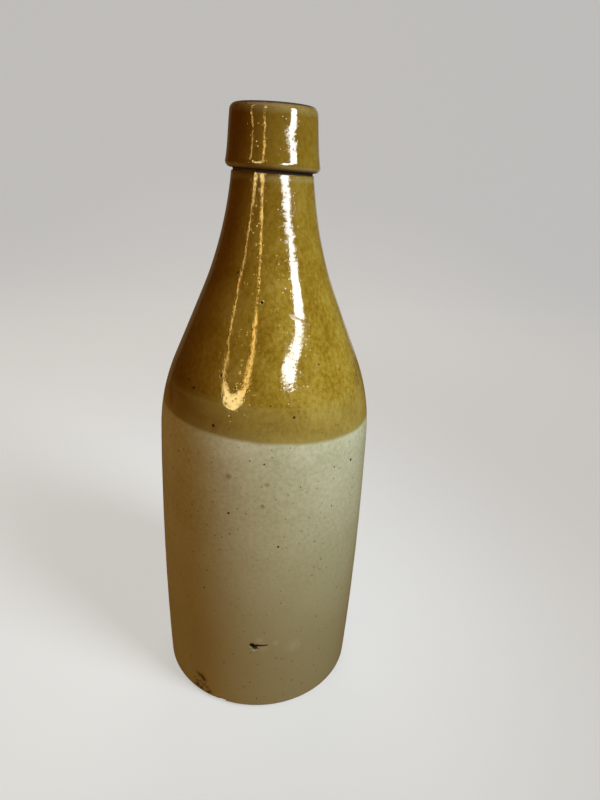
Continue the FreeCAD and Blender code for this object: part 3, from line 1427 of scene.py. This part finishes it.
LAMPS = (
    Lamp("key", azimuth=53.0, distance=0.34, level=0.42, aim=0.13, width=0.16, height=0.16,
         spread=50.0, radiance=2.4, colour="#f4fdff"),
    Lamp("low_fill", azimuth=-32.0, distance=0.7, level=0.25, aim=0.1, width=0.6, height=0.5,
         spread=180.0, radiance=0.8, colour="#ffc061"),
    Lamp("back_fill", azimuth=176.0, distance=0.8, level=0.5, aim=0.1, width=0.6, height=0.5,
         spread=120.0, radiance=0.9, colour="#fff0dc"),
    Lamp("left_fill", azimuth=-128.0, distance=0.8, level=0.4, aim=0.1, width=0.6, height=0.5,
         spread=120.0, radiance=0.3, colour="#ffe2bb"),
)
GOLD = "#ffcb6e"
NEARLY_BLACK = "#0c0805"
RING_LEVEL = 0.0008
RING_REACH = (0.0368, 1.09)
# The near cards, at about 0.12, are for the collar alone, and keep the far gold ones out of it
GLOSS_CARDS = (
    GlossCard("white_glint", "#ffffff", 25.0, climbing(
        0.22, (0.2075, 26.5, 28.5), (0.2105, 22, 32), (0.2145, 18.5, 35), (0.22, 20, 39),
        (0.226, 22.5, 43), (0.231, 26, 47), (0.235, 32, 52), (0.239, 39, 57), (0.244, 42, 59),
        (0.254, 42, 58), (0.27, 43, 58), (0.34, 43, 58))),
    GlossCard("collar_dark", NEARLY_BLACK, 1.0, screen(0.124, range(-80, -4, 15), 0.2125, 0.235)),
    GlossCard("collar_gold_outer", GOLD, 17.0, climbing(
        0.12, (0.217, -51.2, -49), (0.2219, -52.1, -49.9), (0.2235, -54.1, -51.9),
        (0.2252, -55.6, -53.4), (0.228, -56.4, -54.2))),
    GlossCard("collar_gold_inner", GOLD, 17.0, climbing(
        0.12, (0.217, -22.2, -19.4), (0.2245, -22.4, -19.4), (0.2254, -24.6, -21.6),
        (0.2265, -25, -22), (0.228, -25.6, -22.6))),
    GlossCard("gold_outer", GOLD, 18.0, climbing(
        0.5, (0.262, -49.5, -45.5), (0.285, -51.2, -48.8), (0.31, -53.2, -51), (0.33, -55.4, -53.4),
        (0.35, -58.2, -56), (0.38, -59.8, -57.6), (0.42, -60.3, -58), (0.7, -60.3, -58))),
    GlossCard("gold_inner", GOLD, 18.0, climbing(
        0.5, (0.262, -30, -26.5), (0.285, -28.5, -24), (0.31, -27, -22.8), (0.33, -25.2, -21),
        (0.35, -23.2, -19), (0.375, -22, -18.3), (0.4, -21.9, -18), (0.44, -23.2, -19.5),
        (0.7, -24, -20.5))),
    GlossCard("gold_foot", "#ffe096", 20.0, circling(
        0.5, (-50, 0.262, 0.287), (-48, 0.243, 0.289), (-45, 0.208, 0.286), (-41, 0.193, 0.263),
        (-37.5, 0.188, 0.258), (-34, 0.19, 0.27), (-30.5, 0.203, 0.285), (-27, 0.228, 0.31),
        (-24, 0.256, 0.33), (-21.5, 0.3, 0.35))),
    GlossCard("dark_surround", NEARLY_BLACK, 1.0, screen(1.1, range(-125, 136, 20))),
    GlossCard("dim_left_side", "#2c2316", 1.0, screen(0.52, (-137, -128, -118))),
    GlossCard("pale_left_side", "#6b5a3e", 1.0, screen(0.52, (-178, -165, -151, -137))),
    GlossCard("dim_right_side", "#4e4f49", 1.0, screen(0.52, (127, 139, 151))),
    GlossCard("warm_low_ring", "#6a4a22", 1.0, tuple(
        ((RING_REACH[0], azimuth, RING_LEVEL), (RING_REACH[1], azimuth, RING_LEVEL))
        for azimuth in range(-180, 181, 15))),
)


@dataclass
class Studio:
    """What stands round the bottle: floor, lamps, cards, world and the camera at the photo's place."""

    floor_colour: str = "#b6b8b8"
    floor_bounce: str = "#a5855a"
    floor_glow: float = 1.0
    floor_roughness: float = 0.9
    world_colour: str = "#cfd3d4"
    ambient_colour: str = "#d89a5c"
    ambient: float = 0.12
    floor_reach: float = 2.2
    sweep_start: float = 0.55
    sweep_round: float = 0.45
    sweep_top: float = 1.5
    sweep_steps: int = 24
    camera_place: tuple[float, float, float] = (0.0, -0.19605, 0.19395)
    camera_pitch: float = math.radians(22.516)
    camera_yaw: float = math.radians(3.666)
    camera_roll: float = math.radians(3.163)
    camera_lens: float = 26.0
    camera_near: float = 0.01
    lamps: tuple[Lamp, ...] = LAMPS
    cards: tuple[GlossCard, ...] = GLOSS_CARDS

    def build_floor(self) -> None:
        """Makes the floor, which sweeps up behind the bottle."""
        turns = [math.pi / 2 * step / self.sweep_steps for step in range(self.sweep_steps + 1)]
        sweep = [
            (self.sweep_start + self.sweep_round * math.sin(turn), self.sweep_round * (1 - math.cos(turn)))
            for turn in turns
        ]
        reach = self.floor_reach
        outline = [(-reach, 0.0), *sweep, (sweep[-1][0], self.sweep_top)]
        points = [Vector((side, y, z)) for y, z in outline for side in (-reach, reach)]
        new_card("studio_sweep", points, self.floor_material())

    def floor_material(self) -> bpy.types.Material:
        """Matte paper that looks pale, but casts a warmer and darker light back on the bottle.

        Returns:
            The material.
        """
        material, tree, shader = new_material("matte_paper")
        seen = self.plain_rays(tree)
        feed(shader, "Base Color", add_node(tree, "ShaderNodeMix", {
            "Factor": seen, "A": linear(self.floor_bounce), "B": linear(self.floor_colour)},
            data_type="RGBA"))
        feed(shader, "Emission Color", linear(self.floor_colour))
        feed(shader, "Emission Strength", add_node(tree, "ShaderNodeMath", {0: seen, 1: self.floor_glow},
                                                   operation="MULTIPLY"))
        feed(shader, "Roughness", self.floor_roughness)
        return material

    def plain_rays(self, tree: Tree) -> Node:
        """Nodes that are 1 where a surface is seen, in a mirror or through glass too, and 0 else.

        Args:
            tree: The tree that gets the nodes.

        Returns:
            The node with the 1 or 0.
        """
        rays = add_node(tree, "ShaderNodeLightPath")
        seen = add_node(tree, "ShaderNodeMath", {
            0: rays.outputs["Is Camera Ray"], 1: rays.outputs["Is Glossy Ray"]}, operation="MAXIMUM")
        return add_node(tree, "ShaderNodeMath", {0: seen, 1: rays.outputs["Is Transmission Ray"]},
                        operation="MAXIMUM")

    def build_world(self) -> None:
        """Makes the world: pale where it is seen, and a dim warm light on the bottle."""
        world = bpy.data.worlds.new("pale_world")
        world.use_nodes = True
        tree = world.node_tree
        pale = tree.nodes["Background"]
        feed(pale, "Color", linear(self.world_colour))
        dim = add_node(tree, "ShaderNodeBackground", {
            "Color": linear(self.ambient_colour), "Strength": self.ambient})
        both = add_node(tree, "ShaderNodeMixShader", {0: self.plain_rays(tree), 1: dim, 2: pale})
        feed(tree.nodes["World Output"], "Surface", both)
        bpy.context.scene.world = world

    def build_camera(self) -> None:
        """Makes the camera where the photo was taken from."""
        data = bpy.data.cameras.new("photo_camera")
        data.lens = self.camera_lens
        data.clip_start = self.camera_near
        camera = new_object("photo_camera", data)
        turn = Matrix.Rotation(-self.camera_yaw, 4, "Z") @ Matrix.Rotation(
            math.pi / 2 - self.camera_pitch, 4, "X") @ Matrix.Rotation(self.camera_roll, 4, "Z")
        camera.matrix_world = Matrix.Translation(self.camera_place) @ turn
        bpy.context.scene.camera = camera

    def build(self) -> None:
        """Makes the whole studio."""
        self.build_floor()
        self.build_world()
        self.build_camera()
        for part in (*self.lamps, *self.cards):
            part.build()
            log.info("studio: %s", part.name)


def section_from_frame() -> HalfSection:
    """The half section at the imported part's height and mouth.

    Returns:
        The half section, in millimetres.
    """
    mouth = next(mount for mount in frame["record"]["mounts"] if mount["name"] == "mouth")["dims"]
    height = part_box(NODE)[1].z / MM
    return HalfSection(height, mouth["r_mm"], height - HalfSection.mouth_bevel - mouth["length_mm"])


def main() -> None:
    """Builds the studio and the bottle, and reports each piece."""
    logging.basicConfig(level=logging.INFO, format="%(name)s: %(message)s")
    bpy.context.scene.view_settings.view_transform = "Standard"
    section = section_from_frame()
    Studio().build()
    bottle = Bottle(section, DippedGlaze(section), LinerGlaze(), BareClay())
    piece = bottle.build()
    bottle.dress(piece)
    log.info("%s: %d faces, in place of %s", piece.name, len(piece.data.polygons), NODE)


if __name__ == "__main__":
    main()
